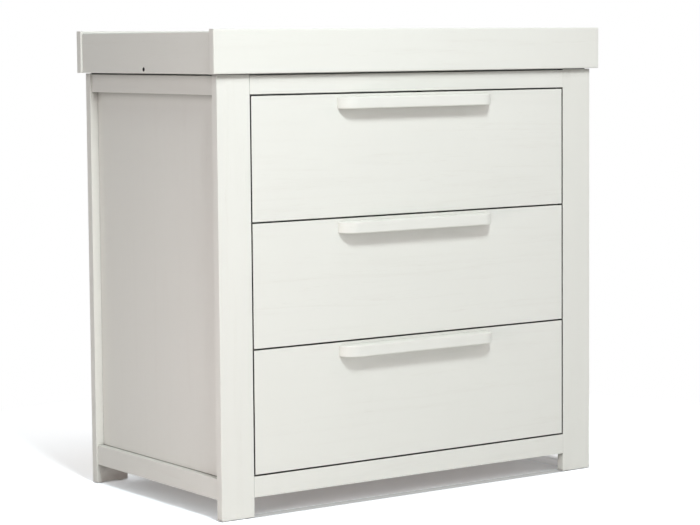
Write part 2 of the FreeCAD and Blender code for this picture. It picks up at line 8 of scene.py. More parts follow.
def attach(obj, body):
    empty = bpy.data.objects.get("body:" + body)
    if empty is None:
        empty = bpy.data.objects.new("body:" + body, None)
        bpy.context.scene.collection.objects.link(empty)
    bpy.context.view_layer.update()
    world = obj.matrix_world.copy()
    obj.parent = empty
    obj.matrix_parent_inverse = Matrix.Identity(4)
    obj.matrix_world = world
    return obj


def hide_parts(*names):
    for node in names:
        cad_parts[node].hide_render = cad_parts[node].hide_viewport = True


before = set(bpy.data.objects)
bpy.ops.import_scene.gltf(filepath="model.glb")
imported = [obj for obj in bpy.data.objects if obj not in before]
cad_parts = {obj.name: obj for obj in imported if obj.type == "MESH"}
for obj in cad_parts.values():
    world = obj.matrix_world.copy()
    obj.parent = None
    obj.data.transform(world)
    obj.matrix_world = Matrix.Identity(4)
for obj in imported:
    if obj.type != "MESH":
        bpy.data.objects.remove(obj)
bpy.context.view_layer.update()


# ---------------------------------------------------------------- the studio
# A floor that runs out to white, one soft main lamp high on the left of the front, four weaker
# ones round the dresser, and pale light from all sides. The camera stands at the photograph's
# place, level with the changer, and looks a little down.
CAMERA_PLACE = (-2.69275, -3.84539, 0.89849)
CAMERA_TURN = (85.3115, 0.4681, -35.1937)       # degrees
CAMERA_SENSOR = 36.0                            # the sensor's width and the lens are in millimetres
CAMERA_LENS = 116.97
CAMERA_SHIFT = (-0.0007, -0.0457)
camera_data = bpy.data.cameras.new("camera")
camera_data.sensor_width = CAMERA_SENSOR
camera_data.lens = CAMERA_LENS
camera_data.shift_x = CAMERA_SHIFT[0]
camera_data.shift_y = CAMERA_SHIFT[1]
camera = bpy.data.objects.new("camera", camera_data)
camera.location = CAMERA_PLACE
camera.rotation_euler = [math.radians(turn) for turn in CAMERA_TURN]
bpy.context.scene.collection.objects.link(camera)
bpy.context.scene.camera = camera
bpy.context.scene.view_settings.view_transform = "Standard"

FRONT_MIDDLE = Vector((0.0, -0.24, 0.47))       # what every lamp points at
WARM = (1.0, 0.81, 0.78)
SLIGHTLY_GREEN = (0.945, 1.0, 0.985)


def lamp(name, towards, distance, across, power, colour=(1.0, 1.0, 1.0)):
    """A round soft lamp that lights the middle of the dresser's front from a direction."""
    light = bpy.data.lights.new(name, "AREA")
    light.shape = "DISK"
    light.size = across
    light.energy = power
    light.color = colour
    lamp_object = bpy.data.objects.new(name, light)
    direction = Vector(towards).normalized()
    lamp_object.location = FRONT_MIDDLE + direction * distance
    lamp_object.rotation_euler = direction.to_track_quat("Z", "Y").to_euler()
    bpy.context.scene.collection.objects.link(lamp_object)


lamp("key_lamp", (-0.65, -1.52, 1.53), distance=2.6, across=0.58, power=37.4, colour=SLIGHTLY_GREEN)
lamp("top_lamp", (0.0, -0.1, 1.0), distance=2.5, across=1.2, power=8.0)
lamp("right_fill_lamp", (0.75, -0.55, 0.45), distance=3.6, across=1.6, power=12.4, colour=WARM)
lamp("low_left_lamp", (-1.0, -0.35, -0.22), distance=1.8, across=0.5, power=6.6, colour=WARM)
lamp("back_lamp", (0.6, 1.0, 0.5), distance=3.5, across=1.6, power=18.0)


def ranged(nodes, links, value, low, high, to_low=0.0, to_high=1.0):
    """A value moved from one range to another, and kept inside it."""
    change = nodes.new("ShaderNodeMapRange")
    change.inputs["From Min"].default_value = low
    change.inputs["From Max"].default_value = high
    change.inputs["To Min"].default_value = to_low
    change.inputs["To Max"].default_value = to_high
    links.new(value, change.inputs["Value"])
    return change.outputs["Result"]


def calculated(nodes, links, operation, first, second=None):
    """The sum, product, sine and so on of values, where a plain number may be second."""
    step = nodes.new("ShaderNodeMath")
    step.operation = operation
    links.new(first, step.inputs[0])
    if isinstance(second, (int, float)):
        step.inputs[1].default_value = second
    elif second is not None:
        links.new(second, step.inputs[1])
    return step.outputs["Value"]


def blended(nodes, links, factor, first, second):
    """Two colours mixed by a factor."""
    mix = nodes.new("ShaderNodeMix")
    mix.data_type = "RGBA"
    for socket, colour in (("A", first), ("B", second)):
        target = [s for s in mix.inputs if s.name == socket and s.type == "RGBA"][0]
        if isinstance(colour, tuple):
            target.default_value = colour
        else:
            links.new(colour, target)
    links.new(factor, mix.inputs["Factor"])
    return [s for s in mix.outputs if s.type == "RGBA"][0]


def seen_directly(nodes, links):
    """One for what the camera sees, straight, in a gloss or through glass, and nought otherwise."""
    rays = nodes.new("ShaderNodeLightPath")
    straight_or_glossy = calculated(nodes, links, "MAXIMUM", rays.outputs["Is Camera Ray"],
                                    rays.outputs["Is Glossy Ray"])
    return calculated(nodes, links, "MAXIMUM", straight_or_glossy, rays.outputs["Is Transmission Ray"])


WORLD_LIGHT = (0.262, 0.258, 0.25, 1.0)
WHITE = (1.0, 1.0, 1.0, 1.0)
BLACK = (0.0, 0.0, 0.0, 1.0)
world = bpy.data.worlds.new("studio_light")
world.use_nodes = True
bpy.context.scene.world = world
world_nodes = world.node_tree.nodes
world_links = world.node_tree.links
sky_colour = blended(world_nodes, world_links, seen_directly(world_nodes, world_links), WORLD_LIGHT, WHITE)
world_links.new(sky_colour, world_nodes["Background"].inputs["Color"])

FLOOR_REACH = 6.0
FLOOR_COLOUR = (0.9, 0.9, 0.9, 1.0)
FLOOR_SEEN = (2.3, 2.4, 2.5, 1.0)       # over-lit in the photograph, so the camera sees it lighter
SHADE_PAINTED_UNDER = (1.68, 1.78, 1.9, 1.0)     # and painted shade, a flatter grey, on what lies under the dresser
GLOW_PAINTED_UNDER = (0.21, 0.21, 0.21, 1.0)    # with a painted glow of this much, so that its dark side isn't black
SHADOW_PAINTED_AT_EDGES = (0.5, 0.5, 0.5, 1.0)        # painted shadow where light would creep in under the front and right rails
UNDER_MIDDLE = (0.0, 0.009)             # the dresser's own rectangle of floor
UNDER_HALF = (0.4575, 0.2522)
FRONT_EDGE_MIDDLE = (0.0, -0.228)
FRONT_EDGE_HALF = (0.4, 0.012)
RIGHT_EDGE_MIDDLE = (0.44, 0.009)
RIGHT_EDGE_HALF = (0.02, 0.22)
SOFT_EDGE = 0.01                        # how far each rectangle takes to fade out
RIGHT_EDGE_SOFT = 0.045
FLOOR_SHADOW_REACH = (0.75, 1.25)       # the shadow fades to white between these, from the middle
floor_mesh = bmesh.new()
bmesh.ops.create_grid(floor_mesh, x_segments=1, y_segments=1, size=FLOOR_REACH)
floor_data = bpy.data.meshes.new("floor")
floor_mesh.to_mesh(floor_data)
floor_mesh.free()
floor = bpy.data.objects.new("floor", floor_data)
bpy.context.scene.collection.objects.link(floor)
floor_finish = bpy.data.materials.new("white_floor")
floor_finish.use_nodes = True
floor_nodes = floor_finish.node_tree.nodes
floor_links = floor_finish.node_tree.links
floor_nodes.remove(floor_nodes["Principled BSDF"])
floor_place = floor_nodes.new("ShaderNodeTexCoord").outputs["Object"]
floor_axes = floor_nodes.new("ShaderNodeSeparateXYZ")
floor_links.new(floor_place, floor_axes.inputs["Vector"])


def in_rectangle(middle, half, soft=SOFT_EDGE):
    """One inside a rectangle of the floor, and nought a little way outside it."""
    sides = []
    for axis, centre, reach in zip("XY", middle, half):
        past_centre = calculated(floor_nodes, floor_links, "SUBTRACT", floor_axes.outputs[axis], centre)
        off_centre = calculated(floor_nodes, floor_links, "ABSOLUTE", past_centre)
        sides.append(ranged(floor_nodes, floor_links, off_centre, reach, reach + soft, 1.0, 0.0))
    return calculated(floor_nodes, floor_links, "MULTIPLY", *sides)


# Painted shade on the floor: a flatter grey under the dresser with a painted glow, and painted shadow along
# its front and right edges.
under = in_rectangle(UNDER_MIDDLE, UNDER_HALF)
front_edge = in_rectangle(FRONT_EDGE_MIDDLE, FRONT_EDGE_HALF)
right_edge = in_rectangle(RIGHT_EDGE_MIDDLE, RIGHT_EDGE_HALF, RIGHT_EDGE_SOFT)
edge = calculated(floor_nodes, floor_links, "MAXIMUM", front_edge, right_edge)
open_or_under = blended(floor_nodes, floor_links, under, FLOOR_SEEN, SHADE_PAINTED_UNDER)
floor_seen = blended(floor_nodes, floor_links, edge, open_or_under, SHADOW_PAINTED_AT_EDGES)
camera_ray = floor_nodes.new("ShaderNodeLightPath").outputs["Is Camera Ray"]
floor_colour = blended(floor_nodes, floor_links, camera_ray, FLOOR_COLOUR, floor_seen)
floor_matt = floor_nodes.new("ShaderNodeBsdfDiffuse")
floor_links.new(floor_colour, floor_matt.inputs["Color"])
painted_glow_share = calculated(floor_nodes, floor_links, "MULTIPLY", camera_ray, under)
floor_painted_glow = floor_nodes.new("ShaderNodeEmission")
floor_links.new(blended(floor_nodes, floor_links, painted_glow_share, BLACK, GLOW_PAINTED_UNDER), floor_painted_glow.inputs["Color"])
floor_near = floor_nodes.new("ShaderNodeAddShader")
floor_links.new(floor_matt.outputs["BSDF"], floor_near.inputs[0])
floor_links.new(floor_painted_glow.outputs["Emission"], floor_near.inputs[1])
floor_distance = floor_nodes.new("ShaderNodeVectorMath")
floor_distance.operation = "LENGTH"
floor_links.new(floor_place, floor_distance.inputs["Vector"])
run_out = ranged(floor_nodes, floor_links, floor_distance.outputs["Value"], *FLOOR_SHADOW_REACH)
floor_white = floor_nodes.new("ShaderNodeEmission")
floor_surface = floor_nodes.new("ShaderNodeMixShader")
seen = seen_directly(floor_nodes, floor_links)
seen_white = calculated(floor_nodes, floor_links, "MULTIPLY", run_out, seen)
floor_links.new(seen_white, floor_surface.inputs["Fac"])
floor_links.new(floor_near.outputs["Shader"], floor_surface.inputs[1])
floor_links.new(floor_white.outputs["Emission"], floor_surface.inputs[2])
floor_links.new(floor_surface.outputs["Shader"], floor_nodes["Material Output"].inputs["Surface"])
floor_data.materials.append(floor_finish)


# ---------------------------------------------------------------- posts and rails
# Flat boards, dowelled together and painted with a satin off-white that lets the grain stand out
# a little. The grain runs up the posts, across the front and back, and from front to back in the
# rails of the ends.
PAINT = (0.850, 0.857, 0.822, 1.0)
PAINT_THIN = (0.838, 0.845, 0.808, 1.0)
PAINT_IN_GRAIN = (0.812, 0.812, 0.775, 1.0)
PAINT_SHADED = (0.38, 0.38, 0.355, 1.0)   # painted shade, close under a board or behind a post that stands out
SHADE_PAINTED_IN_GAPS = (0.030, 0.028, 0.026, 1.0)       # painted shade that makes the narrow lines round the drawers nearly black
GAP_REACH = 0.008                         # how far off a facing surface may be, to darken a gap
GAP_SHADE = (0.12, 0.36)                  # how open a spot is when wholly dark, and wholly light
FRONT_GAP_SHADE = (0.42, 0.88)            # the same, on edges that face each other over the lines
FRONT_BAND_Y = (-0.2432, -0.2254)         # the thickness of the rails, posts and drawer fronts
SHADED_REACH = 0.022
SHADED_FROM = (-1.0, -0.6, 1.0)           # most of the light comes from above, the front and the left
SHADED = (0.33, 0.72)
OPENNESS_RAYS = 6
PAINT_ROUGHNESS = 0.44
GRAIN_SQUEEZE = 0.05                      # along the grain, which draws spots out into streaks
FIGURE = 9.0                              # this and the next four are scales of noise, across the grain
GRAIN_BANDS = 55.0
PORES = 430.0
CLOUDS = 3.5
BRUSH_MARKS = 140.0
GROWTH_LINES = 80.0                       # turns of the wave, in radians, over the whole figure


def new_finish(name, roughness, **sockets):
    """A material with its plain numbers on the shader's own sockets."""
    material = bpy.data.materials.new(name)
    material.use_nodes = True
    shader = material.node_tree.nodes["Principled BSDF"]
    shader.inputs["Roughness"].default_value = roughness
    for socket, value in sockets.items():
        shader.inputs[socket.replace("_", " ")].default_value = value
    return material, material.node_tree.nodes, material.node_tree.links, shader


def along_the_grain(nodes, links, grain, squeeze):
    """Object coordinates drawn out along the grain, so spots become streaks."""
    place = nodes.new("ShaderNodeTexCoord")
    stretch = nodes.new("ShaderNodeMapping")
    stretch.inputs["Scale"].default_value["XYZ".index(grain)] = squeeze
    links.new(place.outputs["Object"], stretch.inputs["Vector"])
    return stretch.outputs["Vector"]


def noise(nodes, links, vector, scale, detail=2.0, roughness=0.5, distortion=0.0):
    """A noise texture's value along some coordinates."""
    texture = nodes.new("ShaderNodeTexNoise")
    texture.inputs["Scale"].default_value = scale
    texture.inputs["Detail"].default_value = detail
    texture.inputs["Roughness"].default_value = roughness
    texture.inputs["Distortion"].default_value = distortion
    links.new(vector, texture.inputs["Vector"])
    return texture.outputs["Fac"]


def raised(nodes, links, shader, height, depth, strength=1.0):
    """Relief on a surface, from a height and its depth in metres."""
    bump = nodes.new("ShaderNodeBump")
    bump.inputs["Strength"].default_value = strength
    bump.inputs["Distance"].default_value = depth
    links.new(height, bump.inputs["Height"])
    links.new(bump.outputs["Normal"], shader.inputs["Normal"])


def openness(nodes, links, reach, dark_and_light, tilt=None):
    """Nought deep in a gap, and one where nothing stands within reach, on the side of a tilt."""
    closeness = nodes.new("ShaderNodeAmbientOcclusion")
    closeness.samples = OPENNESS_RAYS
    closeness.inputs["Distance"].default_value = reach
    if tilt:
        tilted = nodes.new("ShaderNodeVectorMath")
        tilted.inputs[1].default_value = tilt
        links.new(nodes.new("ShaderNodeNewGeometry").outputs["Normal"], tilted.inputs[0])
        unit = nodes.new("ShaderNodeVectorMath")
        unit.operation = "NORMALIZE"
        links.new(tilted.outputs["Vector"], unit.inputs[0])
        links.new(unit.outputs["Vector"], closeness.inputs["Normal"])
    return ranged(nodes, links, closeness.outputs["AO"], *dark_and_light)


def edges_of_the_front(nodes, links):
    """One on the edges of the boards that make up the front, which face each other over the gaps."""
    place = nodes.new("ShaderNodeSeparateXYZ")
    links.new(nodes.new("ShaderNodeTexCoord").outputs["Object"], place.inputs["Vector"])
    middle = sum(FRONT_BAND_Y) / 2
    half = (FRONT_BAND_Y[1] - FRONT_BAND_Y[0]) / 2
    past_middle = calculated(nodes, links, "SUBTRACT", place.outputs["Y"], middle)
    off_middle = calculated(nodes, links, "ABSOLUTE", past_middle)
    in_band = calculated(nodes, links, "LESS_THAN", off_middle, half)
    normal = nodes.new("ShaderNodeSeparateXYZ")
    links.new(nodes.new("ShaderNodeNewGeometry").outputs["Normal"], normal.inputs["Vector"])
    to_front_or_back = calculated(nodes, links, "ABSOLUTE", normal.outputs["Y"])
    is_edge = calculated(nodes, links, "LESS_THAN", to_front_or_back, 0.5)
    return calculated(nodes, links, "MULTIPLY", in_band, is_edge)


def painted_wood(name, grain, relief=0.00016, tone=1.0, shaded=PAINT_SHADED):
    """Satin paint over wood: growth lines and pores show as shallow streaks along the grain."""
    material, nodes, links, shader = new_finish(name, PAINT_ROUGHNESS)
    streaks = along_the_grain(nodes, links, grain, GRAIN_SQUEEZE)
    figure = noise(nodes, links, streaks, FIGURE, detail=2.0, distortion=0.4)
    growth = calculated(nodes, links, "SINE", calculated(nodes, links, "MULTIPLY", figure, GROWTH_LINES))
    lines = ranged(nodes, links, growth, 0.2, 1.0)
    pores = ranged(nodes, links, noise(nodes, links, streaks, PORES, 3.0, 0.6), 0.55, 0.75)
    bands = noise(nodes, links, streaks, GRAIN_BANDS, 3.0)
    in_bands = ranged(nodes, links, bands, 0.45, 0.62)
    faint_lines = calculated(nodes, links, "MULTIPLY", lines, 0.4)
    lines_and_pores = calculated(nodes, links, "ADD", pores, faint_lines)
    grain_mark = calculated(nodes, links, "MULTIPLY", in_bands, lines_and_pores)
    marks = ranged(nodes, links, grain_mark, 0.0, 1.2, 0.0, tone)
    cloudy = noise(nodes, links, streaks, CLOUDS, 1.0)
    thick_paint = blended(nodes, links, ranged(nodes, links, cloudy, 0.35, 0.65), PAINT, PAINT_THIN)
    in_the_open = blended(nodes, links, marks, thick_paint, PAINT_IN_GRAIN)
    # Painted shade: the colour darkens close under boards and behind posts, and to nearly black in narrow
    # gaps, most of all between the boards of the front.
    shade = openness(nodes, links, SHADED_REACH, SHADED, SHADED_FROM)
    coloured = blended(nodes, links, shade, shaded, in_the_open)
    elsewhere = ranged(nodes, links, edges_of_the_front(nodes, links), 0.0, 1.0, 1.0, 0.0)
    over_the_line = openness(nodes, links, GAP_REACH, FRONT_GAP_SHADE)
    in_front = calculated(nodes, links, "MAXIMUM", elsewhere, over_the_line)
    open_here = calculated(nodes, links, "MINIMUM", in_front, openness(nodes, links, GAP_REACH, GAP_SHADE))
    links.new(blended(nodes, links, open_here, SHADE_PAINTED_IN_GAPS, coloured), shader.inputs["Base Color"])
    brush = noise(nodes, links, streaks, BRUSH_MARKS, 2.0)
    links.new(ranged(nodes, links, brush, 0.3, 0.7, 0.40, 0.5), shader.inputs["Roughness"])
    depth = calculated(nodes, links, "SUBTRACT", bands, grain_mark)
    raised(nodes, links, shader, depth, relief)
    return material


def finish_nodes(material, *names):
    """Gives CAD nodes one finish."""
    for name in names:
        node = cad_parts[name]
        node.data.materials.clear()
        node.data.materials.append(material)


paint_upright = painted_wood("paint_grain_upright", "Z")
paint_across = painted_wood("paint_grain_across", "X")
paint_to_back = painted_wood("paint_grain_to_back", "Y")
SIDES = ("left", "right")
ROWS = ("front", "rear")
LEVELS = ("top", "bottom")
finish_nodes(paint_upright, *[f"{row}_post_{side}" for row in ROWS for side in SIDES])
finish_nodes(paint_across, *[f"{row}_{level}_rail" for row in ROWS for level in LEVELS])
finish_nodes(paint_to_back, *[f"side_{level}_rail_{side}" for level in LEVELS for side in SIDES])


# ---------------------------------------------------------------- side panels
# One thick board in each end frame, with a tongue all round in grooves of the posts and rails. It
# stands back from their outer faces and has the same paint, rubbed smoother, so less grain shows.
paint_panel = painted_wood("paint_on_panel", "Z", relief=0.00008, tone=0.6)
finish_nodes(paint_panel, *[f"side_panel_{side}" for side in SIDES])


# ---------------------------------------------------------------- dowels of the frames
# Turned beech pegs, glued half into the posts and half into the ends of the rails. They hold the
# frames together and stay hidden in the joints.
BEECH = (0.62, 0.40, 0.24, 1.0)
BEECH_FLECK = (0.45, 0.26, 0.14, 1.0)
BEECH_FIGURE = 60.0
BEECH_LINES = 20.0
BARE_WOOD_SQUEEZE = 0.06
BARE_WOOD_FIBRES = 800.0


def bare_wood(name, grain, pale, dark, figure_scale, growth_lines, roughness=0.55):
    """Clear-coated wood: growth lines across, fine fibres and pores along the grain."""
    material, nodes, links, shader = new_finish(name, roughness)
    streaks = along_the_grain(nodes, links, grain, BARE_WOOD_SQUEEZE)
    figure = noise(nodes, links, streaks, figure_scale, detail=1.5, distortion=0.5)
    growth = calculated(nodes, links, "SINE", calculated(nodes, links, "MULTIPLY", figure, growth_lines))
    late_wood = ranged(nodes, links, growth, -0.2, 1.0, 0.0, 0.7)
    fine_noise = noise(nodes, links, streaks, BARE_WOOD_FIBRES, 3.0, 0.7)
    fibres = ranged(nodes, links, fine_noise, 0.4, 0.75, 0.0, 0.45)
    marks = calculated(nodes, links, "ADD", late_wood, fibres)
    tone = blended(nodes, links, ranged(nodes, links, marks, 0.0, 1.2), pale, dark)
    links.new(tone, shader.inputs["Base Color"])
    links.new(ranged(nodes, links, fibres, 0.0, 0.45, roughness - 0.06, roughness + 0.08),
              shader.inputs["Roughness"])
    raised(nodes, links, shader, marks, 0.00015, strength=0.6)
    return material


beech_along_x = bare_wood("beech_dowel", "X", BEECH, BEECH_FLECK, BEECH_FIGURE, BEECH_LINES)
finish_nodes(beech_along_x, "frame_dowels")


# ---------------------------------------------------------------- runner battens
# Planed softwood strips, dowelled level between the posts of each end, one for each drawer. They
# bring the ball runners out to the edge of the drawer opening.
PINE = (0.74, 0.55, 0.33, 1.0)
PINE_LATE_WOOD = (0.55, 0.32, 0.14, 1.0)
PINE_FIGURE = 14.0
PINE_LINES = 60.0
pine = bare_wood("planed_pine", "Y", PINE, PINE_LATE_WOOD, PINE_FIGURE, PINE_LINES)
finish_nodes(pine, *[f"runner_battens_{side}" for side in SIDES])


# ---------------------------------------------------------------- hardboard back
# Thin hardboard, lapped on the back of the frame and tacked all round. It is sprayed white on the
# face inside the case, and bare brown outside, where the mesh it was pressed on has left its print.
HARDBOARD = (0.34, 0.205, 0.115, 1.0)
HARDBOARD_FIBRE = (0.50, 0.34, 0.21, 1.0)
HARDBOARD_ROUGHNESS = (0.62, 0.4)       # of the brown face and the white one
FIBRES = 420.0
BLOTCHES = 12.0
MESH_HOLES = 620.0
MESH_UNEVENNESS = 0.25
PRINT_DEPTH = 0.00025
PRINT_LEFT_IN_WHITE = 0.12              # how much of the relief the white spray leaves
FORWARDS = (0.0, -1.0, 0.0)


def hardboard(name, white_side):
    """Pressed brown fibre board that is white on the face that points along white_side."""
    material, nodes, links, shader = new_finish(name, HARDBOARD_ROUGHNESS[0])
    place = nodes.new("ShaderNodeTexCoord").outputs["Object"]
    fibres = ranged(nodes, links, noise(nodes, links, place, FIBRES, 4.0, 0.7, 1.5), 0.35, 0.7)
    blotches = noise(nodes, links, place, BLOTCHES, 2.0)
    brown = blended(nodes, links, calculated(nodes, links, "MULTIPLY", fibres, blotches),
                    HARDBOARD, HARDBOARD_FIBRE)
    facing = nodes.new("ShaderNodeVectorMath")
    facing.operation = "DOT_PRODUCT"
    facing.inputs[1].default_value = white_side
    geometry = nodes.new("ShaderNodeNewGeometry")
    links.new(geometry.outputs["Normal"], facing.inputs[0])
    white_face = calculated(nodes, links, "GREATER_THAN", facing.outputs["Value"], 0.5)
    links.new(blended(nodes, links, white_face, brown, PAINT_THIN), shader.inputs["Base Color"])
    links.new(ranged(nodes, links, white_face, 0.0, 1.0, *HARDBOARD_ROUGHNESS), shader.inputs["Roughness"])
    mesh_print = nodes.new("ShaderNodeTexVoronoi")
    mesh_print.inputs["Scale"].default_value = MESH_HOLES
    mesh_print.inputs["Randomness"].default_value = MESH_UNEVENNESS
    links.new(place, mesh_print.inputs["Vector"])
    pits = calculated(nodes, links, "ADD", mesh_print.outputs["Distance"], fibres)
    print_left = ranged(nodes, links, white_face, 0.0, 1.0, 1.0, PRINT_LEFT_IN_WHITE)
    relief = calculated(nodes, links, "MULTIPLY", pits, print_left)
    raised(nodes, links, shader, relief, PRINT_DEPTH)
    return material


finish_nodes(hardboard("hardboard_back", FORWARDS), "back_panel")


# ---------------------------------------------------------------- tacks in the back
# Short bright steel tacks with low domed heads, tapped through the hardboard into the frame. They
# stand in even rows down both sides and along the top and bottom.
ZINC = (0.62, 0.63, 0.65, 1.0)
ZINC_MOTTLE = 620.0
ZINC_GRAIN = 1500.0
ZINC_GRAIN_DEPTH = 0.00003
BACK_FACE_Y = 0.264
TACK_X = 0.3895             # the side rows, and the ends of the top and bottom rows
TACK_LOW = 0.0745
TACK_HIGH = 0.8105
TACKS_IN_ROW = 7
TACK_SIDES = 12
TACK_OUTLINE = ((0.0, -0.0006), (0.0009, -0.00057), (0.0017, -0.00045), (0.0023, -0.00025),
                (0.0025, 0.0), (0.0007, 0.0), (0.0007, 0.0085), (0.0, 0.01))
UPWARDS = (0.0, 0.0, 1.0)
SAME_PLACE = 1e-6                       # two points nearer than this are one
SHARP_FROM = math.radians(38.0)         # edges that turn by more than this stay crisp


def duller(colour, share):
    """A colour brought down to a share of its brightness."""
    return tuple(value * share for value in colour[:3]) + (1.0,)


def zinc_steel(name, roughness, tint=ZINC):
    """Zinc-plated steel with a faint crystal mottle and rolling marks."""
    material, nodes, links, shader = new_finish(name, roughness, Metallic=1.0)
    place = nodes.new("ShaderNodeTexCoord").outputs["Object"]
    mottle = noise(nodes, links, place, ZINC_MOTTLE, 3.0)
    links.new(blended(nodes, links, ranged(nodes, links, mottle, 0.35, 0.65), tint, duller(tint, 0.92)),
              shader.inputs["Base Color"])
    links.new(ranged(nodes, links, mottle, 0.3, 0.7, roughness - 0.07, roughness + 0.1),
              shader.inputs["Roughness"])
    grain = noise(nodes, links, place, ZINC_GRAIN, 2.0)
    raised(nodes, links, shader, grain, ZINC_GRAIN_DEPTH, strength=0.5)
    return material


def turned(mesh, outline, place, axis, steps=16):
    """Adds a turned shape. The outline is (radius, distance along the axis) from end to end."""
    before = set(mesh.verts)
    rail = [mesh.verts.new((radius, 0.0, along)) for radius, along in outline]
    edges = [mesh.edges.new(pair) for pair in zip(rail, rail[1:])]
    bmesh.ops.spin(mesh, geom=rail + edges, cent=(0.0, 0.0, 0.0), axis=UPWARDS,
                   angle=math.tau, steps=steps, use_merge=True)
    added = [vert for vert in mesh.verts if vert not in before]
    bmesh.ops.remove_doubles(mesh, verts=added, dist=SAME_PLACE)
    added = [vert for vert in mesh.verts if vert not in before]
    bmesh.ops.transform(mesh, matrix=standing(place, axis), verts=added)


def standing(place, axis):
    """The move that stands a shape made along Z at a place, along an axis."""
    turn = Vector(UPWARDS).rotation_difference(Vector(axis)).to_matrix().to_4x4()
    return Matrix.Translation(place) @ turn


def make_piece(name, mesh, body, slot, materials, *stands_for):
    """Turns a finished mesh into a piece on a body, with its finish, in place of CAD nodes."""
    bmesh.ops.recalc_face_normals(mesh, faces=mesh.faces)
    data = bpy.data.meshes.new(name)
    mesh.to_mesh(data)
    mesh.free()
    for material in materials:
        data.materials.append(material)
    data.shade_smooth()
    data.set_sharp_from_angle(angle=SHARP_FROM)
    piece = bpy.data.objects.new(name, data)
    bpy.context.scene.collection.objects.link(piece)
    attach(piece, body)
    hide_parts(*stands_for)


bright_steel = zinc_steel("zinc_plated_screws", 0.3)
tack_mesh = bmesh.new()
for step in range(TACKS_IN_ROW):
    share = step / (TACKS_IN_ROW - 1)
    across = -TACK_X + share * 2 * TACK_X
    up = TACK_LOW + share * (TACK_HIGH - TACK_LOW)
    for end in (-TACK_X, TACK_X):
        turned(tack_mesh, TACK_OUTLINE, (end, BACK_FACE_Y, up), FORWARDS, TACK_SIDES)
    if 0 < step < TACKS_IN_ROW - 1:
        for height in (TACK_LOW, TACK_HIGH):
            turned(tack_mesh, TACK_OUTLINE, (across, BACK_FACE_Y, height), FORWARDS, TACK_SIDES)
make_piece("tacks_in_back", tack_mesh, "case", "screw_steel", [bright_steel], "back_panel_tacks")


# ---------------------------------------------------------------- foot glides
# White plastic discs, moulded with a dish for the head of a nail and nailed two under each post.
# The dresser stands on them, and slides on them over a hard floor.
GLIDE_WHITE = (0.72, 0.71, 0.67, 1.0)
GLIDE_ROUGHNESS = 0.45
PLASTIC_SPECKLE = 900.0
PLASTIC_SPECKLE_DEPTH = 0.00004
GLIDE_SIDES = 28
GLIDE_OUTLINE = ((0.0, 0.0007), (0.0021, 0.0007), (0.0026, 0.0002), (0.0031, 0.0), (0.0056, 0.0),
                 (0.0065, 0.0003), (0.007, 0.001), (0.007, 0.002), (0.0016, 0.002), (0.0016, 0.003),
                 (0.0, 0.003))
NAIL_SIDES = 12
NAIL_OUTLINE = ((0.0, 0.0004), (0.0012, 0.00045), (0.002, 0.0007), (0.001, 0.0012), (0.001, 0.0105),
                (0.0, 0.012))
POST_MIDDLES_X = (-0.421, 0.421)
POST_MIDDLES_Y = (-0.2344, 0.252)
GLIDE_SPREAD = 0.022                    # to each side of the post's middle


def moulded_plastic(name, colour, roughness):
    """Plain moulded plastic with the fine texture of its tool and a little mottling."""
    material, nodes, links, shader = new_finish(name, roughness)
    place = nodes.new("ShaderNodeTexCoord").outputs["Object"]
    speckle = noise(nodes, links, place, PLASTIC_SPECKLE, 2.0)
    links.new(blended(nodes, links, ranged(nodes, links, speckle, 0.3, 0.7), colour, duller(colour, 0.9)),
              shader.inputs["Base Color"])
    raised(nodes, links, shader, speckle, PLASTIC_SPECKLE_DEPTH)
    return material


glide_plastic = moulded_plastic("glide_plastic", GLIDE_WHITE, GLIDE_ROUGHNESS)
glide_mesh = bmesh.new()
for x in POST_MIDDLES_X:
    for y in POST_MIDDLES_Y:
        for shift in (-GLIDE_SPREAD, GLIDE_SPREAD):
            foot = (x + shift, y, 0.0)
            turned(glide_mesh, GLIDE_OUTLINE, foot, UPWARDS, GLIDE_SIDES)
            first_of_nail = len(glide_mesh.faces)
            turned(glide_mesh, NAIL_OUTLINE, foot, UPWARDS, NAIL_SIDES)
            glide_mesh.faces.ensure_lookup_table()
            for face in glide_mesh.faces[first_of_nail:]:
                face.material_index = 1
make_piece("nailed_glides", glide_mesh, "case", "glide_plastic", [glide_plastic, bright_steel],
           "foot_glides")


# ---------------------------------------------------------------- top panel and its angles
# A flat painted board that closes the case under the changer. Four small angles of pressed steel
# tie it to the side rails, each with one screw up into it and one out into the rail.
paint_flat = painted_wood("paint_on_flat_boards", "X", relief=0.00006, tone=0.4)
finish_nodes(paint_flat, "top_panel")
finish_nodes(zinc_steel("pressed_angle_steel", 0.36), "top_brackets")


# ---------------------------------------------------------------- screws of the case
# Zinc-plated cross-head wood screws, driven through holes in the steel: two for each angle of the
# top panel, and three for each outer channel of the runners, into its batten.
ANGLE_Y = (-0.15, 0.17)
ANGLE_TO_RAIL = (0.4235, 0.829)         # how far out and how high the screw's head stands
ANGLE_TO_PANEL = (0.4115, 0.841)
ANGLE_SCREW = (0.014, 0.00175, 0.0035)  # length, radius of the shank, radius of the head
RUNNER_SCREW = (0.01, 0.0016, 0.0028)
RUNNER_MIDDLES = {1: 0.6395, 2: 0.3985, 3: 0.1575}     # heights of the three pairs of runners
RUNNER_FRONT_Y = -0.2234
RUNNER_SCREWS_AT = (0.03, 0.2, 0.37)    # back from the runner's front
OPENING_X = 0.3845
RUNNER_STEEL = 0.0012
THREAD_RIDGES = 8
THREAD_ROOT = 0.84                      # this and the next are shares of the shank's radius
THREAD_STEP = 0.4
CROSS_REACH = 0.56                      # this and the next two are shares of the head's radius
CROSS_HALF = 0.15
CROSS_DEPTH = 0.5
RECESS_TAPER = 0.7                      # the bottom of a recess, as a share of its mouth
HEAD_PROUD = 0.00015                    # how far a countersunk head stands out of its hole


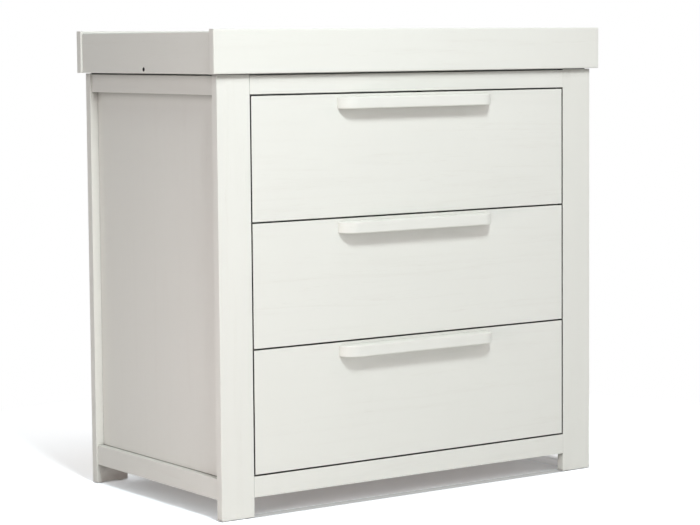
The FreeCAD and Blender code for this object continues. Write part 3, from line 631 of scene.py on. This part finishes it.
def recessed_screw(mesh, place, axis, outline, mouth, depth):
    """A turned screw whose outline ends at the rim of its head, with a driver's recess sunk in it."""
    before = set(mesh.verts)
    turned(mesh, outline, (0.0, 0.0, 0.0), UPWARDS)
    rim = [edge for edge in mesh.edges if edge.is_boundary and edge.verts[0] not in before]
    face_at = outline[-1][1]
    recess = mesh.faces.new([mesh.verts.new((x, y, face_at)) for x, y in mouth])
    lip = list(recess.edges)
    pit = bmesh.ops.extrude_discrete_faces(mesh, faces=[recess])["faces"][0]
    bmesh.ops.scale(mesh, vec=(RECESS_TAPER, RECESS_TAPER, 1.0), verts=pit.verts)
    bmesh.ops.translate(mesh, vec=(0.0, 0.0, depth), verts=pit.verts)
    bmesh.ops.bridge_loops(mesh, edges=rim + lip)
    added = [vert for vert in mesh.verts if vert not in before]
    bmesh.ops.transform(mesh, matrix=standing(place, axis), verts=added)


def cross_screw(mesh, place, axis, length, shank_r, head_r, pan=0.0):
    """A cross-head wood screw: countersunk a hair proud at place, or a pan head standing on it."""
    tip = [(0.0, length), (0.5 * shank_r, length - 1.6 * shank_r)]
    thread = [(shank_r * (THREAD_ROOT if ridge % 2 else 1.0), length - (3.0 + THREAD_STEP * ridge) * shank_r)
              for ridge in range(THREAD_RIDGES)]
    if pan:
        head = [(shank_r, 0.0), (head_r, 0.0), (head_r, -0.4 * pan), (0.88 * head_r, -0.8 * pan),
                (0.68 * head_r, -pan)]
    else:
        head = [(shank_r, head_r - shank_r), (head_r, 0.0), (0.72 * head_r, -HEAD_PROUD)]
    reach = CROSS_REACH * head_r
    half = CROSS_HALF * head_r
    arm = ((reach, -half), (reach, half), (half, half))
    mouth = []
    for cos, sin in ((1, 0), (0, 1), (-1, 0), (0, -1)):
        mouth += [(x * cos - y * sin, x * sin + y * cos) for x, y in arm]
    recessed_screw(mesh, place, axis, tip + thread + head, mouth, CROSS_DEPTH * head_r)


case_screw_mesh = bmesh.new()
for side in (-1, 1):
    outward = (side, 0.0, 0.0)
    for y in ANGLE_Y:
        for (out, up), axis in ((ANGLE_TO_RAIL, outward), (ANGLE_TO_PANEL, UPWARDS)):
            cross_screw(case_screw_mesh, (side * out, y, up), axis, *ANGLE_SCREW)
    for height in RUNNER_MIDDLES.values():
        for along in RUNNER_SCREWS_AT:
            head_at = (side * (OPENING_X - RUNNER_STEEL), RUNNER_FRONT_Y + along, height)
            cross_screw(case_screw_mesh, head_at, outward, *RUNNER_SCREW)
make_piece("screws_of_case", case_screw_mesh, "case", "screw_steel", [bright_steel], "case_screws")


# ---------------------------------------------------------------- drawers
# Painted fronts with wooden bar handles, on dowelled boxes of thin lacquered birch. Each box has a
# white-faced hardboard bottom, let into grooves all round.
BIRCH = (0.78, 0.66, 0.47, 1.0)
BIRCH_LINE = (0.66, 0.51, 0.33, 1.0)
BIRCH_FIGURE = 11.0
BIRCH_LINES = 34.0
LACQUER_ROUGHNESS = 0.42
SHADE_PAINTED_UNDER_HANDLES = (0.64, 0.64, 0.60, 1.0)    # painted shade, paler than elsewhere, as a handle is a small roof
DRAWERS = (1, 2, 3)                             # from the top
birch_to_back = bare_wood("birch_grain_to_back", "Y", BIRCH, BIRCH_LINE, BIRCH_FIGURE, BIRCH_LINES,
                          LACQUER_ROUGHNESS)
birch_across = bare_wood("birch_grain_across", "X", BIRCH, BIRCH_LINE, BIRCH_FIGURE, BIRCH_LINES,
                         LACQUER_ROUGHNESS)
white_bottom = hardboard("hardboard_drawer_bottom", UPWARDS)
paint_on_fronts = painted_wood("paint_on_drawer_fronts", "X", shaded=SHADE_PAINTED_UNDER_HANDLES)
for number in DRAWERS:
    finish_nodes(paint_on_fronts, f"drawer_{number}_front", f"drawer_{number}_handle")
    finish_nodes(birch_to_back, *[f"drawer_{number}_side_{side}" for side in SIDES])
    finish_nodes(birch_across, f"drawer_{number}_back")
    finish_nodes(white_bottom, f"drawer_{number}_bottom")


# ---------------------------------------------------------------- drawer screws and dowels
# Two pan-head screws hold each handle from inside the front, four long ones hold the back, three
# short ones each runner, and beech dowels join the front to the sides.
BOX_X = 0.3715                  # the outer face of the box's sides
BOX_LOW = {1: 0.5895, 2: 0.3485, 3: 0.1075}
FRONT_INNER_Y = FRONT_BAND_Y[1]
HANDLE_SCREW_X = 0.096
HANDLE_SCREW_UP = 0.2005        # this and the next two are above the box's lower edge
BOX_SCREWS_UP = (0.04, 0.13)
BOX_DOWELS_UP = (0.035, 0.135)
BOX_BACK_Y = 0.1836             # the middle of the back's thickness
BOX_DOWEL_X = 0.3655            # the middle of a side's thickness
BOX_DOWEL_FRONT_Y = -0.2374
HANDLE_SCREW = (0.032, 0.002, 0.004, 0.0025)    # as the angle's, and the height of its pan head
BOX_SCREW = (0.035, 0.00175, 0.0035)
BACKWARDS = (0.0, 1.0, 0.0)
DOWEL_OUTLINE = ((0.0, 0.0), (0.0024, 0.0), (0.003, 0.0009), (0.003, 0.0291), (0.0024, 0.03), (0.0, 0.03))
beech_along_y = bare_wood("beech_grain_to_back", "Y", BEECH, BEECH_FLECK, BEECH_FIGURE, BEECH_LINES)
for number in DRAWERS:
    screw_mesh = bmesh.new()
    dowel_mesh = bmesh.new()
    low = BOX_LOW[number]
    for side in (-1, 1):
        inward = (-side, 0.0, 0.0)
        behind_handle = (side * HANDLE_SCREW_X, FRONT_INNER_Y, low + HANDLE_SCREW_UP)
        cross_screw(screw_mesh, behind_handle, FORWARDS, *HANDLE_SCREW)
        for up in BOX_SCREWS_UP:
            cross_screw(screw_mesh, (side * BOX_X, BOX_BACK_Y, low + up), inward, *BOX_SCREW)
        for along in RUNNER_SCREWS_AT:
            head_at = (side * (BOX_X + RUNNER_STEEL), RUNNER_FRONT_Y + along, RUNNER_MIDDLES[number])
            cross_screw(screw_mesh, head_at, inward, *RUNNER_SCREW)
        for up in BOX_DOWELS_UP:
            turned(dowel_mesh, DOWEL_OUTLINE, (side * BOX_DOWEL_X, BOX_DOWEL_FRONT_Y, low + up), BACKWARDS)
    drawer = f"drawer_{number}"
    fixings = f"drawer_{number}_fixings"
    make_piece(f"drawer_{number}_screws", screw_mesh, drawer, "screw_steel", [bright_steel], fixings)
    make_piece(f"drawer_{number}_dowels", dowel_mesh, drawer, "beech", [beech_along_y], fixings)


# ---------------------------------------------------------------- ball runners
# Roll-formed steel channels, one screwed to the batten and one to the drawer, with balls in a
# pressed cage between them.
CAGE_ZINC = (0.70, 0.71, 0.72, 1.0)
RUNNER_LENGTH = 0.4
SLOT_LENGTH = 0.016
RUNNER_SLOTS = [(RUNNER_FRONT_Y + along, RUNNER_FRONT_Y + along + SLOT_LENGTH)
                for along in (0.052, 0.09, 0.128, 0.232, 0.27, 0.308)]
RUNNER_SLOT_HALF = 0.0032       # half the height of a slot
CAGE_FRONT_Y = -0.0734
CAGE_LENGTH = 0.1
CAGE_STEEL = 0.0008
CAGE_SLOTS = [(CAGE_FRONT_Y + along, CAGE_FRONT_Y + along + SLOT_LENGTH) for along in (0.01, 0.042, 0.074)]
CAGE_SLOT_HALF = 0.009
BALL_R = 0.0022
BALL_ROW = 0.01905              # above and below the runner's middle
BALL_INWARD = 0.0066            # from the batten's face
BALLS_IN_ROW = 5
BALL_SIDES = 16
BALL_RINGS = 10
SLOT_FOUND = 1e-5               # how near a face's middle lies to a slot's, where it is the slot
SLOT_INSET = 0.0003             # the ring of metal that a slot's rounded corners are cut in
SLOT_ROUND = 0.85               # radius of a slot's corners, as a share of half its height
FOLD_ROUND = 1.1                # outer radius of a fold, as a share of the steel's thickness
FOLD_ANGLE = 1.0                # in radians; every edge that turns by more is a fold
rolled_steel = zinc_steel("roll_formed_steel", 0.34)
cage_steel = zinc_steel("ball_cage_steel", 0.26, CAGE_ZINC)


def folded_channel(mesh, side, middle, profile, steel, y_range, slots, slot_half):
    """A strip of steel folded into a channel, with rounded slots punched along its web.

    The profile is half of the outer skin, from the middle of the web up to the lip, as
    (distance in from the batten's face, height above the runner's middle)."""
    verts_before = set(mesh.verts)
    faces_before = set(mesh.faces)
    web = profile[0][0]
    half = [(web, slot_half), *profile[1:]]
    section = [(inward, -up) for inward, up in reversed(half)] + half
    line = [mesh.verts.new((side * (OPENING_X - inward), y_range[0], middle + up))
            for inward, up in section]
    front = [mesh.edges.new(pair) for pair in zip(line, line[1:])]
    stops = sorted([*y_range, *[y for slot in slots for y in slot]])
    for near, far in zip(stops, stops[1:]):
        grown = bmesh.ops.extrude_edge_only(mesh, edges=front)["geom"]
        bmesh.ops.translate(mesh, vec=(0.0, far - near, 0.0),
                            verts=[part for part in grown if isinstance(part, bmesh.types.BMVert)])
        front = [part for part in grown if isinstance(part, bmesh.types.BMEdge)
                 and all(abs(vert.co.y - far) < SAME_PLACE for vert in part.verts)]

    def slot_faces():
        """The faces in the middle of each slot."""
        centres = [(near + far) / 2 for near, far in slots]
        return [face for face in mesh.faces if face not in faces_before
                and abs(face.calc_center_median().z - middle) < SLOT_FOUND
                and any(abs(face.calc_center_median().y - centre) < SLOT_FOUND for centre in centres)]

    punched = slot_faces()
    bmesh.ops.inset_individual(mesh, faces=punched, thickness=SLOT_INSET)
    bmesh.ops.bevel(mesh, geom=list({vert for face in punched for vert in face.verts}), affect="VERTICES",
                    offset=SLOT_ROUND * slot_half, segments=4, profile=0.5, material=-1, clamp_overlap=True)
    bmesh.ops.delete(mesh, geom=slot_faces(), context="FACES")
    folds = [edge for edge in mesh.edges if edge.verts[0] not in verts_before and not edge.is_boundary
             and abs(edge.verts[0].co.y - edge.verts[1].co.y) > SAME_PLACE
             and edge.calc_face_angle(0.0) > FOLD_ANGLE]
    bmesh.ops.bevel(mesh, geom=folds, affect="EDGES", offset=FOLD_ROUND * steel, segments=3, profile=0.5,
                    material=-1)
    faces = [face for face in mesh.faces if face not in faces_before]
    bmesh.ops.recalc_face_normals(mesh, faces=faces)
    lip_face = max(faces, key=lambda face: face.calc_center_median().z)
    if lip_face.normal.z < 0.0:
        bmesh.ops.reverse_faces(mesh, faces=faces)
    bmesh.ops.solidify(mesh, geom=faces, thickness=steel)


CABINET_PROFILE = ((0.0, 0.0), (0.0, 0.0225), (0.0095, 0.0225), (0.0095, 0.0209))
DRAWER_PROFILE = ((0.013, 0.0), (0.013, 0.0168), (0.004, 0.0168), (0.004, 0.0142))
CAGE_PROFILE = ((0.0022, 0.0), (0.0022, 0.01945), (0.009, 0.01945))
RUNNER_ENDS = (RUNNER_FRONT_Y, RUNNER_FRONT_Y + RUNNER_LENGTH)
CAGE_ENDS = (CAGE_FRONT_Y, CAGE_FRONT_Y + CAGE_LENGTH)
for number in DRAWERS:
    cabinet_mesh = bmesh.new()
    drawer_mesh = bmesh.new()
    cage_mesh = bmesh.new()
    middle = RUNNER_MIDDLES[number]
    for side in (-1, 1):
        folded_channel(cabinet_mesh, side, middle, CABINET_PROFILE, RUNNER_STEEL, RUNNER_ENDS,
                       RUNNER_SLOTS, RUNNER_SLOT_HALF)
        folded_channel(drawer_mesh, side, middle, DRAWER_PROFILE, RUNNER_STEEL, RUNNER_ENDS,
                       RUNNER_SLOTS, RUNNER_SLOT_HALF)
        folded_channel(cage_mesh, side, middle, CAGE_PROFILE, CAGE_STEEL, CAGE_ENDS,
                       CAGE_SLOTS, CAGE_SLOT_HALF)
        ball_x = side * (OPENING_X - BALL_INWARD)
        for row in (-BALL_ROW, BALL_ROW):
            for count in range(BALLS_IN_ROW):
                ball_y = CAGE_FRONT_Y + (count + 0.5) * CAGE_LENGTH / BALLS_IN_ROW
                place = Matrix.Translation((ball_x, ball_y, middle + row))
                bmesh.ops.create_uvsphere(cage_mesh, u_segments=BALL_SIDES, v_segments=BALL_RINGS,
                                          radius=BALL_R, matrix=place)
    make_piece(f"runner_{number}_outer_channels", cabinet_mesh, "case", "runner_steel",
               [rolled_steel], f"runner_{number}_cabinet_members")
    make_piece(f"runner_{number}_inner_channels", drawer_mesh, f"drawer_{number}", "runner_steel",
               [rolled_steel], f"runner_{number}_drawer_members")
    make_piece(f"runner_{number}_cages_and_balls", cage_mesh, f"ball_cages_{number}", "runner_steel",
               [cage_steel], f"runner_{number}_ball_cages")


# ---------------------------------------------------------------- changer tray
# Boards dowelled into a shallow box that drops over the top of the case, with a base board let
# into grooves. It has the same paint as the case, with the grain along each board.
finish_nodes(paint_across, "changer_front_board", "changer_back_board")
finish_nodes(paint_to_back, "changer_left_board", "changer_right_board")
finish_nodes(paint_flat, "changer_base")
finish_nodes(beech_along_y, "changer_dowels")


# ---------------------------------------------------------------- locating screws
# A dark socket-head screw goes through the middle of each tray end, sunk in a dark sleeve of painted shade.
# Its end drops into a slot in the edge of the top panel and keeps the tray in its place.
# Dark steel for the screws, and for the sleeves, which are painted shade that darkens each hole.
DARK_STEEL_AND_SHADE = (0.12, 0.12, 0.125, 1.0)
HEAD_AT = (0.4616, 0.0082, 0.8525)      # of the right-hand screw; the left one is its mirror image
SOCKET_R = 0.0023                       # to the corners of the hexagon
SOCKET_DEPTH = 0.002
CAP_SCREW_OUTLINE = ((0.0, 0.024), (0.0018, 0.024), (0.0025, 0.0232), (0.0025, 0.003), (0.0041, 0.003),
                     (0.0042, 0.0029), (0.0042, 0.0004), (0.0039, 0.0), (0.0029, 0.0))
SHADE_SLEEVE_OUTLINE = ((0.0037, 0.0), (0.0042, 0.0), (0.0042, 0.00595), (0.0037, 0.00595), (0.0037, 0.0))
SHADE_SLEEVE_SIDES = 24
dark_steel_and_shade = zinc_steel("dark_screw_steel_and_shade", 0.4, DARK_STEEL_AND_SHADE)
hexagon = [(SOCKET_R * math.cos(math.tau * corner / 6), SOCKET_R * math.sin(math.tau * corner / 6))
           for corner in range(6)]
cap_screw_mesh = bmesh.new()
for side in (-1, 1):
    head_at = (side * HEAD_AT[0], HEAD_AT[1], HEAD_AT[2])
    inward = (-side, 0.0, 0.0)
    outward = (side, 0.0, 0.0)
    recessed_screw(cap_screw_mesh, head_at, inward, CAP_SCREW_OUTLINE, hexagon, SOCKET_DEPTH)
    turned(cap_screw_mesh, SHADE_SLEEVE_OUTLINE, head_at, outward, SHADE_SLEEVE_SIDES)
make_piece("sunk_cap_screws", cap_screw_mesh, "changer", "screw_steel", [dark_steel_and_shade],
           "changer_locating_screws")
